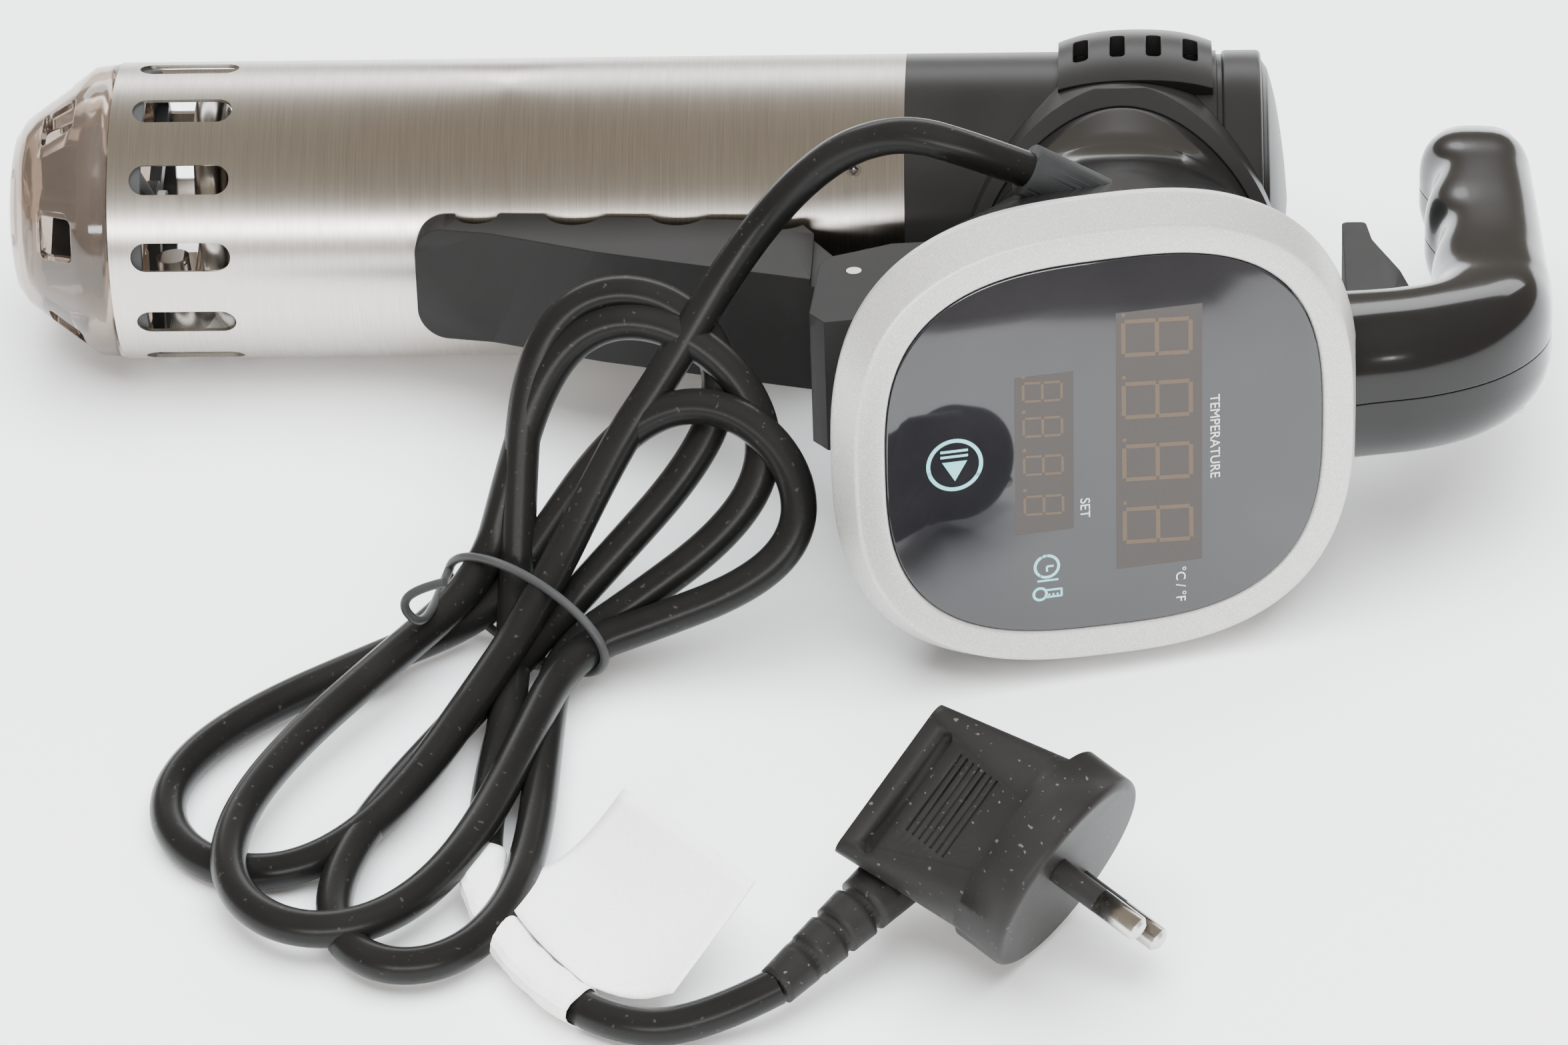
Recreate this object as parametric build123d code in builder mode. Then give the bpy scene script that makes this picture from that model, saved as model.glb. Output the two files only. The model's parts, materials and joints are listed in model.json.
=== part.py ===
from build123d import *
import os
from math import cos, pi, radians, sin, tan

os.makedirs("parts", exist_ok=True)

# Sous vide circulator lying on its tube and on the rim of its display head, millimetres.
# Device axes: X runs up the tube from the tip of the pump cap, Z points out of the tube towards
# the display, Y is the user's left. LAY turns the device onto its rest on the table.
TUBE_R = 30.0
SLEEVE_WALL = 0.8
SLEEVE_FROM, SLEEVE_TO = 22.3, 181.0
SLOT_COUNT, SLOT_LENGTH, SLOT_WIDTH, SLOT_MID, SLOT_PHASE = 12, 20.0, 6.0, 36.7, 6.9
HOUSING_TO = 243.0
HOUSING_R_IN = 27.4
NECK_AT = 224.0
NECK_R = 28.9
NECK_TO = 34.0
DISPLAY_AT, DISPLAY_OUT, DISPLAY_TILT = 218.7, 100.0, 14.0
BEZEL_HALF = (51.4, 48.4)
GLASS_HALF = (42.5, 38.8)
HINGE_AT, HINGE_OUT = 172.0, 59.4
LINK_ARM = 11.0
ROD_OUT = HINGE_OUT + LINK_ARM
TRIGGER_AT, TRIGGER_OUT = 276.0, 84.0
CORD_D = 7.0
SCREW_AT, SCREW_R, SCREW_ANGLES = 171.0, 1.5, (38, 218)
SHAFT_R = 2.0
PIN_HOLE_R, HINGE_PIN_R = 1.55, 1.5
ROD_WAY_R, ROD_R = 1.9, 1.2
SHELL_WALL = 2.6
LONG_CUT = 40.0
REST_ROLL = 10.27
ORIGIN_X, ORIGIN_Y = 153.88, -45.60

roll = radians(REST_ROLL)
LAY_PLANE = Plane(origin=(-ORIGIN_X, -ORIGIN_Y, TUBE_R), x_dir=(1, 0, 0), z_dir=(0, -cos(roll), sin(roll)))
LAY = Location(LAY_PLANE)
TABLE = Location((-ORIGIN_X, -ORIGIN_Y, 0))

tilt = radians(DISPLAY_TILT)
DISPLAY_N = Vector(sin(tilt), 0, cos(tilt))
DISPLAY = Plane(origin=(DISPLAY_AT, 0, DISPLAY_OUT), x_dir=(cos(tilt), 0, -sin(tilt)), z_dir=DISPLAY_N)


def radial(angle):
    """Unit direction across the tube, in degrees from the display side towards the user's left."""
    return Vector(0, sin(radians(angle)), cos(radians(angle)))


def oval(half_u, half_v, power=2.7, narrow=0.0, count=28):
    """Points of a rounded square outline, a little narrower towards the tube's wet end."""
    points = []
    for k in range(count):
        t = 2 * pi * k / count
        u = abs(cos(t)) ** (2 / power) * (1 if cos(t) >= 0 else -1)
        v = abs(sin(t)) ** (2 / power) * (1 if sin(t) >= 0 else -1)
        points.append((half_u * u, half_v * v * (1 + narrow * u)))
    return points


def polar(r, angle):
    """A point on a circle across the tube, the angle in degrees."""
    return (r * cos(radians(angle)), r * sin(radians(angle)))


# ---------------------------------------------------------------- wet end
# half sections of the cap, distance up the tube and radius
CAP_OUTER = [(0, 0), (0, 12), (0.9, 16), (3, 19), (17, 29.2), (22, 29.7)]
CAP_INNER = [(22, 26), (24.2, 26), (24.2, 27.1), (26, 27.1), (26, 23.6), (18.5, 23.6), (5, 16.5), (2.2, 12),
             (2.2, 0)]
LUG_SEAT_R, LUG_IN_R, LUG_HALF_ANGLE = 28.0, 26.35, 14
RING_IN_R = 27.5

with BuildPart() as pump_cap:
    with BuildSketch(Plane.XY):
        with BuildLine():
            Polyline(*CAP_OUTER, *CAP_INNER, close=True)
        make_face()
    revolve(axis=Axis.X)
    # the rim behind the shoulder is cut to three bayonet lugs
    for k in range(3):
        with BuildSketch(Plane.YZ.offset(24.2)):
            with BuildLine():
                lug_from, lug_mid, lug_to = (polar(32, 120 * k + step) for step in (15, 60, 105))
                Line((0, 0), lug_from)
                ThreePointArc(lug_from, lug_mid, lug_to)
                Line(lug_to, (0, 0))
            make_face()
            Circle(26, mode=Mode.SUBTRACT)
        extrude(amount=3, mode=Mode.SUBTRACT)
    # six outlet windows through the cone
    for k in range(6):
        with BuildSketch(Plane(origin=(11, 0, 0), x_dir=(1, 0, 0), z_dir=radial(60 * k + 12))):
            RectangleRounded(7, 9, 1.2)
        extrude(amount=40, mode=Mode.SUBTRACT)
    # ribs that stiffen the end wall
    with BuildSketch(Plane.YZ.offset(2.2)):
        with PolarLocations(8.5, 6, start_angle=30):
            Rectangle(9, 1.4)
    extrude(amount=1.8)
pump_cap.part.label = "pump_cap"

with BuildPart() as cap_ring:
    with BuildSketch(Plane.YZ.offset(SLEEVE_FROM + 0.3)):
        Circle(TUBE_R - SLEEVE_WALL)
        Circle(RING_IN_R, mode=Mode.SUBTRACT)
    extrude(amount=3.8)
    for k in range(3):
        with BuildSketch(Plane.YZ.offset(SLEEVE_FROM + 0.3)):
            with BuildLine():
                outer = [polar(LUG_SEAT_R, 120 * k + step) for step in (-LUG_HALF_ANGLE, 0, LUG_HALF_ANGLE)]
                inner = [polar(LUG_IN_R, 120 * k + step) for step in (LUG_HALF_ANGLE, 0, -LUG_HALF_ANGLE)]
                ThreePointArc(*outer)
                Line(outer[-1], inner[0])
                ThreePointArc(*inner)
                Line(inner[-1], outer[0])
            make_face()
        extrude(amount=1.3)
    # three spokes carry the hub of the lower shaft bushing
    with BuildSketch(Plane.YZ.offset(SLEEVE_FROM + 4.1)):
        Circle(TUBE_R - SLEEVE_WALL)
        Circle(RING_IN_R, mode=Mode.SUBTRACT)
        Circle(6)
        with PolarLocations(16.7, 3, start_angle=52):
            Rectangle(23, 3.4)
        Circle(4, mode=Mode.SUBTRACT)
    extrude(amount=2.4)
cap_ring.part.label = "cap_ring"

with BuildPart() as shaft_bushing:
    with BuildSketch(Plane.YZ.offset(25.4)):
        Circle(4)
        Circle(2.05, mode=Mode.SUBTRACT)
    extrude(amount=5)
shaft_bushing.part.label = "shaft_bushing"

with BuildPart() as drive_shaft:
    with BuildSketch(Plane.YZ.offset(9)):
        Circle(SHAFT_R)
    extrude(amount=231)
drive_shaft.part.label = "drive_shaft"

with BuildPart() as impeller:
    with BuildSketch(Plane.YZ.offset(15.6)):
        Circle(18)
    extrude(amount=1.8)
    with BuildSketch(Plane.YZ.offset(8)):
        Circle(4.5)
        with PolarLocations(9.6, 7):
            Rectangle(12, 1.3, rotation=28)
    extrude(amount=7.6)
    with BuildSketch(Plane.YZ.offset(9)):
        Circle(SHAFT_R)
    extrude(amount=20, mode=Mode.SUBTRACT)
impeller.part.label = "impeller"

with BuildPart() as steel_sleeve:
    with BuildSketch(Plane.YZ.offset(SLEEVE_FROM)):
        Circle(TUBE_R)
        Circle(TUBE_R - SLEEVE_WALL, mode=Mode.SUBTRACT)
    extrude(amount=SLEEVE_TO - SLEEVE_FROM)
    for k in range(SLOT_COUNT):
        toward = radial(SLOT_PHASE + 360 / SLOT_COUNT * k)
        with BuildSketch(Plane(origin=(SLOT_MID, 0, 0), x_dir=(1, 0, 0), z_dir=toward)):
            SlotOverall(SLOT_LENGTH, SLOT_WIDTH)
        extrude(amount=TUBE_R + 5, mode=Mode.SUBTRACT)
    for angle in SCREW_ANGLES:
        with BuildSketch(Plane(origin=(SCREW_AT, 0, 0), x_dir=(1, 0, 0), z_dir=radial(angle))):
            Circle(SCREW_R)
        extrude(amount=TUBE_R + 5, mode=Mode.SUBTRACT)
steel_sleeve.part.label = "steel_sleeve"

COIL_R, COIL_WIRE_R, COIL_FROM, COIL_PITCH, COIL_LENGTH = 21.5, 3.25, 34.0, 9.0, 90.0
BULKHEAD_AT = 148.0
with BuildPart() as heater_coil:
    with BuildLine():
        turns = Helix(COIL_PITCH, COIL_LENGTH, COIL_R, center=(COIL_FROM, 0, 0), direction=(1, 0, 0))
    with BuildSketch(Plane(origin=turns @ 0, z_dir=turns % 0)):
        Circle(COIL_WIRE_R)
    sweep()
    # the hot end runs straight to the bulkhead
    with Locations(turns @ 1):
        Sphere(COIL_WIRE_R)
    hot_end = turns @ 1
    with BuildSketch(Plane(origin=hot_end, z_dir=(1, 0, 0))):
        Circle(COIL_WIRE_R)
    extrude(amount=BULKHEAD_AT - hot_end.X)
heater_coil.part.label = "heater_coil"

with BuildPart() as temperature_probe:
    with BuildSketch(Plane(origin=(58, 0, 10.5), z_dir=(1, 0, 0))):
        Circle(2.5)
    extrude(amount=BULKHEAD_AT - 58)
    fillet(temperature_probe.faces().sort_by(Axis.X)[0].edges(), 1.6)
temperature_probe.part.label = "temperature_probe"

with BuildPart() as level_probes:
    for side in (-1, 1):
        with BuildSketch(Plane(origin=(78 + 12 * side, 9.5 * side, -5), z_dir=(1, 0, 0))):
            Circle(1.5)
        extrude(amount=BULKHEAD_AT - 78 - 12 * side)
level_probes.part.label = "level_probes"

with BuildPart() as bulkhead:
    with BuildSketch(Plane.YZ.offset(BULKHEAD_AT)):
        Circle(TUBE_R - SLEEVE_WALL)
        Circle(2.4, mode=Mode.SUBTRACT)
    extrude(amount=10)
    with BuildSketch(Plane.YZ.offset(BULKHEAD_AT + 4)):
        Circle(TUBE_R)
        Circle(27.2, mode=Mode.SUBTRACT)
    extrude(amount=2.4, mode=Mode.SUBTRACT)
bulkhead.part.label = "bulkhead"

with BuildPart() as bulkhead_seal:
    with BuildSketch(Plane.YZ.offset(BULKHEAD_AT + 4)):
        Circle(TUBE_R - SLEEVE_WALL)
        Circle(27.2, mode=Mode.SUBTRACT)
    extrude(amount=2.4)
bulkhead_seal.part.label = "bulkhead_seal"

with BuildPart() as sleeve_screws:
    for angle in SCREW_ANGLES:
        head = radial(angle) * 25
        with BuildSketch(Plane(origin=(SCREW_AT, head.Y, head.Z), x_dir=(1, 0, 0), z_dir=radial(angle))):
            Circle(SCREW_R)
        extrude(amount=4.9)
    for angle in SCREW_ANGLES:
        face = radial(angle) * 29.4
        with BuildSketch(Plane(origin=(SCREW_AT, face.Y, face.Z), x_dir=(1, 0, 0), z_dir=radial(angle))):
            Rectangle(1.9, 0.5)
            Rectangle(0.5, 1.9)
        extrude(amount=2, mode=Mode.SUBTRACT)
sleeve_screws.part.label = "sleeve_screws"

# ---------------------------------------------------------------- dry end
VENT_STATIONS, VENT_SLOT = (216, 223.3, 230.5, 237.8), (3, 10)
NECK_PLANE = Plane(origin=(NECK_AT, 0, 0), z_dir=(0, 0, 1))
with BuildPart() as upper_housing:
    with BuildSketch(Plane.YZ.offset(164)):
        Circle(TUBE_R - SLEEVE_WALL)
        Circle(26.4, mode=Mode.SUBTRACT)
    extrude(amount=SLEEVE_TO - 164)
    with BuildSketch(Plane.YZ.offset(SLEEVE_TO)):
        Circle(TUBE_R)
        Circle(HOUSING_R_IN, mode=Mode.SUBTRACT)
    extrude(amount=HOUSING_TO - SLEEVE_TO)
    # way for the wires under the neck
    with BuildSketch(NECK_PLANE):
        Circle(11)
    extrude(amount=TUBE_R + 5, mode=Mode.SUBTRACT)
    # way for the air under the vent grille
    for station in VENT_STATIONS:
        with BuildSketch(Plane(origin=(station, 0, 0), x_dir=(1, 0, 0), z_dir=(0, 1, 0))):
            Rectangle(*VENT_SLOT)
        extrude(amount=LONG_CUT, mode=Mode.SUBTRACT)
    for angle in SCREW_ANGLES:
        with BuildSketch(Plane(origin=(SCREW_AT, 0, 0), x_dir=(1, 0, 0), z_dir=radial(angle))):
            Circle(SCREW_R)
        extrude(amount=TUBE_R + 5, mode=Mode.SUBTRACT)
upper_housing.part.label = "upper_housing"

VENT_HALF_ANGLE = 21
COLLAR_R_IN, COLLAR_R, COLLAR_REACH = 29.05, 31.6, 34.2
with BuildPart() as vent_grille:
    with BuildSketch(Plane.XY):
        with BuildLine():
            Spline((211.5, 31.9), (219, 33.9), (227, 34.4), (235, 33.9), (242.2, 31.9))
            Polyline((242.2, 31.9), (242.2, TUBE_R), (211.5, TUBE_R), (211.5, 31.9))
        make_face()
    revolve(axis=Axis.X, revolution_arc=VENT_HALF_ANGLE)
    mirror(about=Plane.XY)
    for station in VENT_STATIONS:
        with BuildSketch(Plane(origin=(station, 0, 0), x_dir=(1, 0, 0), z_dir=(0, 1, 0))):
            RectangleRounded(*VENT_SLOT, 1)
        extrude(amount=LONG_CUT, mode=Mode.SUBTRACT)
    # the hood stops at the neck's collar
    with BuildSketch(NECK_PLANE):
        Circle(COLLAR_R)
    extrude(amount=LONG_CUT, mode=Mode.SUBTRACT)
vent_grille.part.label = "vent_grille"

with BuildPart() as housing_end_ring:
    with BuildSketch(Plane.YZ.offset(HOUSING_TO)):
        Circle(29.2)
        Circle(25, mode=Mode.SUBTRACT)
    extrude(amount=1.2)
    with BuildSketch(Plane.YZ.offset(HOUSING_TO + 1.2)):
        Circle(TUBE_R)
        Circle(25, mode=Mode.SUBTRACT)
    extrude(amount=7.8)
    fillet(housing_end_ring.faces().sort_by(Axis.X)[-1].edges().sort_by(SortBy.RADIUS)[-1], 0.8)
housing_end_ring.part.label = "housing_end_ring"

with BuildPart() as housing_top_cap:
    with BuildSketch(Plane.XY):
        with BuildLine():
            Spline((252, 28.2), (253.5, 25.6), (255.1, 19), (256.5, 9), (257.2, 0),
                   tangents=[(0, -1), (0, -1)])
            Polyline((257.2, 0), (250, 0), (250, 25), (252, 25), (252, 28.2))
        make_face()
    revolve(axis=Axis.X)
housing_top_cap.part.label = "housing_top_cap"

with BuildPart() as motor_mount:
    with BuildSketch(Plane.YZ.offset(184)):
        Circle(HOUSING_R_IN)
        Circle(6, mode=Mode.SUBTRACT)
        with PolarLocations(22, 6):
            Circle(3, mode=Mode.SUBTRACT)
    extrude(amount=2.5)
motor_mount.part.label = "motor_mount"

with BuildPart() as motor_body:
    with BuildSketch(Plane.YZ.offset(186.5)):
        Circle(17.5)
        Circle(2.4, mode=Mode.SUBTRACT)
    extrude(amount=33)
    fillet(motor_body.faces().sort_by(Axis.X)[-1].edges().sort_by(SortBy.RADIUS)[-1], 2)
motor_body.part.label = "motor_body"

with BuildPart() as cooling_fan:
    with BuildSketch(Plane.YZ.offset(225)):
        Circle(7)
        with PolarLocations(13.5, 9):
            Rectangle(15, 1.4, rotation=20)
        Circle(SHAFT_R, mode=Mode.SUBTRACT)
    extrude(amount=10)
cooling_fan.part.label = "cooling_fan"

with BuildPart() as power_board:
    with BuildSketch(Plane(origin=(204, 0, 18.6), z_dir=(0, 0, 1))):
        Rectangle(32, 34)
    extrude(amount=1.6)
    with BuildSketch(Plane(origin=(204, 0, 20.2), z_dir=(0, 0, 1))):
        with Locations((-9, 6), (2, -6)):
            Rectangle(9, 10)
    extrude(amount=3.4)
power_board.part.label = "power_board"

# ---------------------------------------------------------------- neck and display head
# the collar is a low saddle on the tube, round the foot of the head's back shell
with BuildPart() as neck_collar:
    with BuildSketch(NECK_PLANE):
        Circle(COLLAR_R)
        Circle(COLLAR_R_IN, mode=Mode.SUBTRACT)
    extrude(amount=COLLAR_REACH)
    with BuildSketch(Plane.YZ.offset(150)):
        Circle(COLLAR_REACH)
    extrude(amount=150, mode=Mode.INTERSECT)
    with BuildSketch(Plane.YZ.offset(150)):
        Circle(TUBE_R)
    extrude(amount=150, mode=Mode.SUBTRACT)
neck_collar.part.label = "neck_collar"

HEAD_TOP = DISPLAY.offset(-3).origin
# sections of the head's back shell: centre along the tube, height, tilt, half sizes, roundness
HEAD_SECTIONS = [
    (NECK_AT, NECK_TO, 0, NECK_R, NECK_R, 2.0),
    (223.5, 46.0, 2, 30.8, 30.4, 2.15),
    (221.8, 70.0, 8, 39.5, 38.0, 2.45),
    (HEAD_TOP.X, HEAD_TOP.Z, DISPLAY_TILT, 50.2, 47.2, 2.7),
]


def head_plane(at, out, lean):
    a = radians(lean)
    return Plane(origin=(at, 0, out), x_dir=(cos(a), 0, -sin(a)), z_dir=(sin(a), 0, cos(a)))


EXIT_AT = (212.0, 41.0, 79.0)
EXIT_AIM = Vector(-0.83, 0.53, 0.18).normalized()
GLAND_R, GLAND_IN, GLAND_OUT = 5.2, 9.0, 7.0


def head_form(inset):
    """The head's back as a solid: a straight neck that opens into the display's outline."""
    with BuildPart() as form:
        for at, out, lean, half_u, half_v, power in HEAD_SECTIONS:
            with BuildSketch(head_plane(at, out, lean)):
                with BuildLine():
                    Spline(*oval(half_u - inset, half_v - inset, power), periodic=True)
                make_face()
        loft()
        at, out, lean, half_u, half_v, power = HEAD_SECTIONS[0]
        with BuildSketch(head_plane(at, out, lean)):
            with BuildLine():
                Spline(*oval(half_u - inset, half_v - inset, power), periodic=True)
            make_face()
        extrude(amount=-out)
    return form


head_solid = head_form(0)
head_room = head_form(SHELL_WALL)
with BuildPart() as head_back_shell:
    add(head_solid.part)
    add(head_room.part, mode=Mode.SUBTRACT)
    # the foot of the neck sits on the tube
    with BuildSketch(Plane.YZ.offset(150)):
        Circle(TUBE_R)
    extrude(amount=150, mode=Mode.SUBTRACT)
    # clearance for the pull rod
    with BuildSketch(Plane(origin=(160, 0, ROD_OUT), z_dir=(1, 0, 0))):
        Circle(ROD_WAY_R)
    extrude(amount=110, mode=Mode.SUBTRACT)
    # hole for the cord gland
    with BuildSketch(Plane(origin=EXIT_AT, z_dir=EXIT_AIM)):
        Circle(GLAND_R)
    extrude(amount=16, both=True, mode=Mode.SUBTRACT)
head_back_shell.part.label = "head_back_shell"

with BuildPart() as cable_gland:
    with BuildSketch(Plane(origin=EXIT_AT, z_dir=EXIT_AIM).offset(-GLAND_IN)):
        Circle(GLAND_R)
    extrude(amount=GLAND_IN + GLAND_OUT)
cable_gland.part.label = "cable_gland"

with BuildPart() as bezel_block:
    for height, half_u, half_v in ((-3, 50.4, 47.4), (0.4, *BEZEL_HALF)):
        with BuildSketch(DISPLAY.offset(height)):
            with BuildLine():
                Spline(*oval(half_u, half_v, 2.7, 0.012), periodic=True)
            make_face()
    loft()
    for height, half_u, half_v in ((0.4, *BEZEL_HALF), (8.0, 48.3, 44.9)):
        with BuildSketch(DISPLAY.offset(height)):
            with BuildLine():
                Spline(*oval(half_u, half_v, 2.7, 0.012), periodic=True)
            make_face()
    loft()

with BuildPart() as bezel_ring:
    add(bezel_block.part)
    with BuildSketch(DISPLAY.offset(-3)):
        with BuildLine():
            Spline(*oval(38.5, 35.0, 2.9, 0.012), periodic=True)
        make_face()
    extrude(amount=12, mode=Mode.SUBTRACT)
    with BuildSketch(DISPLAY.offset(4.4)):
        with BuildLine():
            Spline(*oval(GLASS_HALF[0], GLASS_HALF[1], 2.9, 0.012), periodic=True)
        make_face()
    extrude(amount=6, mode=Mode.SUBTRACT)
bezel_ring.part.label = "bezel_ring"

with BuildPart() as display_gasket:
    with BuildSketch(DISPLAY.offset(4.4)):
        with BuildLine():
            Spline(*oval(GLASS_HALF[0] - 0.2, GLASS_HALF[1] - 0.2, 2.9, 0.012), periodic=True)
        make_face()
        with BuildLine():
            Spline(*oval(39.0, 35.5, 2.9, 0.012), periodic=True)
        make_face(mode=Mode.SUBTRACT)
    extrude(amount=0.8)
display_gasket.part.label = "display_gasket"

with BuildPart() as display_glass:
    with BuildSketch(DISPLAY.offset(5.2)):
        with BuildLine():
            Spline(*oval(GLASS_HALF[0] - 0.1, GLASS_HALF[1] - 0.1, 2.9, 0.012), periodic=True)
        make_face()
    extrude(amount=2.6)
display_glass.part.label = "display_glass"

with BuildPart() as display_board:
    with BuildSketch(DISPLAY.offset(-4.6)):
        with BuildLine():
            Spline(*oval(37.5, 34.0, 2.9), periodic=True)
        make_face()
    extrude(amount=1.6)
display_board.part.label = "display_board"

with BuildPart() as led_module_large:
    with BuildSketch(DISPLAY.offset(-3)):
        with Locations((16.5, 0)):
            Rectangle(19, 51)
    extrude(amount=6.6)
led_module_large.part.label = "led_module_large"

with BuildPart() as led_module_small:
    with BuildSketch(DISPLAY.offset(-3)):
        with Locations((-7.0, 0)):
            Rectangle(13, 33)
    extrude(amount=6.0)
led_module_small.part.label = "led_module_small"

# ---------------------------------------------------------------- handle and trigger
GRIP_HALF, BEAM_HALF = 12.5, 15.0
TRIGGER_HALF = 8.0
HANDLE_OUTLINE = [(240, 66.5), (275, 65.5), (283.5, 57), (283.5, -6), (292, -16), (301, -16),
                  (306.4, -8), (307.8, 62), (303, 80), (290, 88.8), (240, 101.3)]
HANDLE_RADII = [6, 6, 8, 6, 6, 10, 14, 14, 14]
TRIGGER_POCKET = [(262, 60), (262, 89.2), (283.5, 87.2), (293, 72), (293, 40), (278, 38), (278, 60)]
GROOVE_R, GROOVES = 13.0, [(272.4, 30), (272.4, 8)]
HANDLE_SCREWS = [(299, 42), (297, 2), (299, 70)]


def handle_half(side):
    """One moulded half of the handle: the beam out of the head, then the grip over the tube's top."""
    with BuildPart() as half:
        with BuildSketch(Plane.XZ):
            with BuildLine():
                FilletPolyline(*HANDLE_OUTLINE, radius=HANDLE_RADII)
                Line(HANDLE_OUTLINE[-1], HANDLE_OUTLINE[0])
            make_face()
        extrude(amount=-side * BEAM_HALF)
        outer = half.faces().sort_by(Axis.Y)[-1 if side > 0 else 0]
        fillet(outer.edges().filter_by(lambda e: e.center().X > 241), 4.5)
        # the grip is narrower than the beam
        with BuildSketch(Plane.YZ.offset(281)):
            with BuildLine():
                Polyline((side * GRIP_HALF, -30), (side * GRIP_HALF, 50), (side * BEAM_HALF, 64),
                         (side * 20, 64), (side * 20, -30), close=True)
            make_face()
        extrude(amount=40, mode=Mode.SUBTRACT)
        # finger grooves
        with BuildSketch(Plane.XZ.offset(-20)):
            with Locations(*GROOVES):
                Circle(GROOVE_R)
        extrude(amount=40, mode=Mode.SUBTRACT)
        # pocket for the trigger, and the way for the pull rod
        with BuildSketch(Plane.XZ.offset(-TRIGGER_HALF - 0.4)):
            with BuildLine():
                Polyline(*TRIGGER_POCKET, close=True)
            make_face()
        extrude(amount=2 * TRIGGER_HALF + 0.8, mode=Mode.SUBTRACT)
        with BuildSketch(Plane.YZ.offset(230)):
            with Locations((0, ROD_OUT)):
                Circle(ROD_WAY_R)
        extrude(amount=34, mode=Mode.SUBTRACT)
        with BuildSketch(Plane.XZ.offset(-11)):
            with Locations((TRIGGER_AT, TRIGGER_OUT)):
                Circle(HINGE_PIN_R)
        extrude(amount=22, mode=Mode.SUBTRACT)
        for at, out in HANDLE_SCREWS:
            with BuildSketch(Plane.XZ.offset(-8)):
                with Locations((at, out)):
                    Circle(1.4)
            extrude(amount=22, mode=Mode.SUBTRACT)
            with BuildSketch(Plane.XZ.offset(10.2)):
                with Locations((at, out)):
                    Circle(2.7)
            extrude(amount=6, mode=Mode.SUBTRACT)
        add(head_solid.part, mode=Mode.SUBTRACT)
        add(bezel_block.part, mode=Mode.SUBTRACT)
    return half


handle_left_shell = handle_half(1)
handle_left_shell.part.label = "handle_left_shell"
handle_right_shell = handle_half(-1)
handle_right_shell.part.label = "handle_right_shell"

with BuildPart() as handle_screws:
    for at, out in HANDLE_SCREWS:
        with BuildSketch(Plane.XZ.offset(-8)):
            with Locations((at, out)):
                Circle(1.4)
        extrude(amount=18.2)
        with BuildSketch(Plane.XZ.offset(10.2)):
            with Locations((at, out)):
                Circle(2.7)
                Rectangle(3.4, 0.7, mode=Mode.SUBTRACT)
        extrude(amount=1.8)
handle_screws.part.label = "handle_screws"

with BuildPart() as trigger_pin:
    with BuildSketch(Plane.XZ.offset(-11)):
        with Locations((TRIGGER_AT, TRIGGER_OUT)):
            Circle(1.5)
    extrude(amount=22)
trigger_pin.part.label = "trigger_pin"

TRIGGER_OUTLINE = [(271, 88), (280, 87), (282, 81), (281, 64), (278, 50), (273, 36), (272, 28), (267.3, 28),
                   (267.3, 83)]
TRIGGER_RADII = [2, 2, 2, 6, 12, 8, 1.2, 1.2, 2]
with BuildPart() as trigger:
    with BuildSketch(Plane.XZ.offset(-TRIGGER_HALF)):
        with BuildLine():
            FilletPolyline(*TRIGGER_OUTLINE, radius=TRIGGER_RADII, close=True)
        make_face()
        with Locations((TRIGGER_AT, TRIGGER_OUT)):
            Circle(PIN_HOLE_R, mode=Mode.SUBTRACT)
        with Locations((TRIGGER_AT, ROD_OUT)):
            SlotOverall(4.4, 3.1, rotation=90, mode=Mode.SUBTRACT)
    extrude(amount=2 * TRIGGER_HALF)
    with BuildSketch(Plane.XZ.offset(-1.7)):
        with Locations((272, ROD_OUT)):
            Rectangle(20, 8)
    extrude(amount=3.4, mode=Mode.SUBTRACT)
trigger.part.label = "trigger"

with BuildPart() as pull_rod:
    with BuildSketch(Plane.YZ.offset(HINGE_AT)):
        with Locations((0, ROD_OUT)):
            Circle(ROD_R)
    extrude(amount=TRIGGER_AT - HINGE_AT)
    for at, half_width in ((HINGE_AT, 3.8), (TRIGGER_AT, 6)):
        with BuildSketch(Plane.XZ.offset(-half_width)):
            with Locations((at, ROD_OUT)):
                Circle(ROD_R)
        extrude(amount=2 * half_width)
pull_rod.part.label = "pull_rod"

# ---------------------------------------------------------------- clip
LEVER_HALF, LEVER_NECK_HALF, YOKE_HALF, CHEEK_IN = 12.0, 10.4, 13.75, 10.8
LEVER_END, LEVER_TIPS = 84.0, 28.6
LEVER_OUTLINE = [(100, LEVER_TIPS), (LEVER_END, LEVER_TIPS), (LEVER_END, 34.4), (99, 37.4), (109, 41.4),
                 (121, 46.4), (144, 53.6), (165, 60), (172, 66), (178, 64), (179, 55), (168, 47), (161, 34.6),
                 (150, 32.5)]
# bites in the side walls' gripping edges: place up the tube, radius, depth
BITES = [(96.2, 4.2, 4.4), (115.6, 5.6, 5.4), (136.2, 5.8, 6.0), (156.6, 6.2, 8.4)]

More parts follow.
